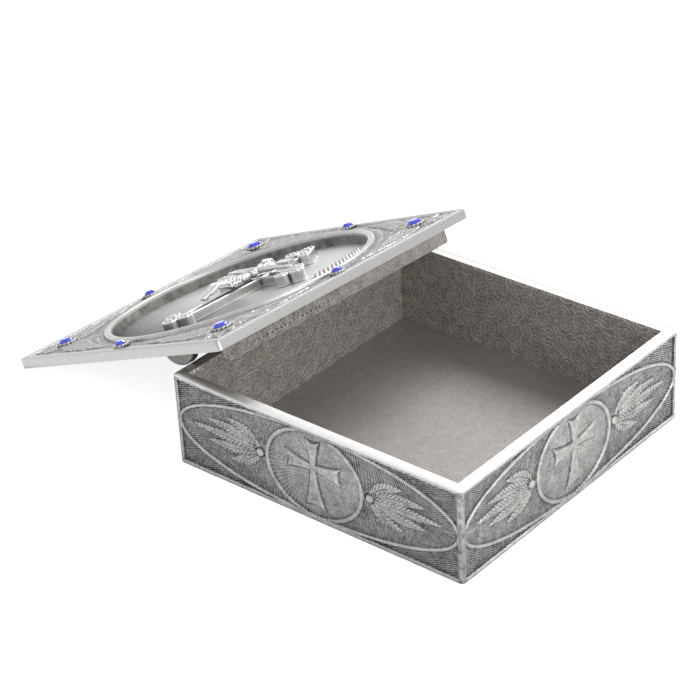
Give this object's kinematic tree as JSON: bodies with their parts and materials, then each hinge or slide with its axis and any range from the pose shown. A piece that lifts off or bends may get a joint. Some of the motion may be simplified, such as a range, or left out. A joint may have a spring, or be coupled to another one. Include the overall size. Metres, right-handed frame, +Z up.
{
  "type": "keepsake box",
  "caption": "Square cast metal box for a rosary, with leaf and cross relief on its sides and a lift-off lid with a sunken crucifix and blue stones, leaning on one wall.",
  "frame": {"origin": "centre of the box's underside, on the surface that it stands on", "axes": "+Z up, +X towards the right-hand wall, away from the leaning lid, -Y towards the front wall"},
  "size_m": [0.1554, 0.097, 0.0392],
  "materials": {
    "antique_pewter": "cast pewter, dark in the hollows and rubbed bright on the ridges",
    "dark_pewter": "as-cast pewter with a dark patina",
    "bright_pewter": "rubbed antique silver",
    "polished_floor": "smooth pale satin",
    "blue_stone": "faceted deep blue, glossy"
  },
  "bodies": {
    "box": {"front_panel": "antique_pewter", "right_panel": "antique_pewter", "back_panel": "antique_pewter", "left_panel": "antique_pewter", "base_plate": "dark_pewter"},
    "lid": {"lid_plate": "antique_pewter", "dish_ring": "antique_pewter", "dish_floor": "polished_floor", "lid_flange": "dark_pewter", "lid_lug": "dark_pewter", "cross": "bright_pewter", "title_plate": "bright_pewter", "corpus": "bright_pewter", "corner_stone_1": "blue_stone", "corner_stone_2": "blue_stone", "corner_stone_3": "blue_stone", "corner_stone_4": "blue_stone", "side_stone_1": "blue_stone", "side_stone_2": "blue_stone", "side_stone_3": "blue_stone", "side_stone_4": "blue_stone"}
  },
  "joints": [
    {"name": "lid_lift", "type": "slide", "parent": "box", "child": "lid", "axis": [0, 0, 1], "range_m": [0, 0.07]}
  ]
}
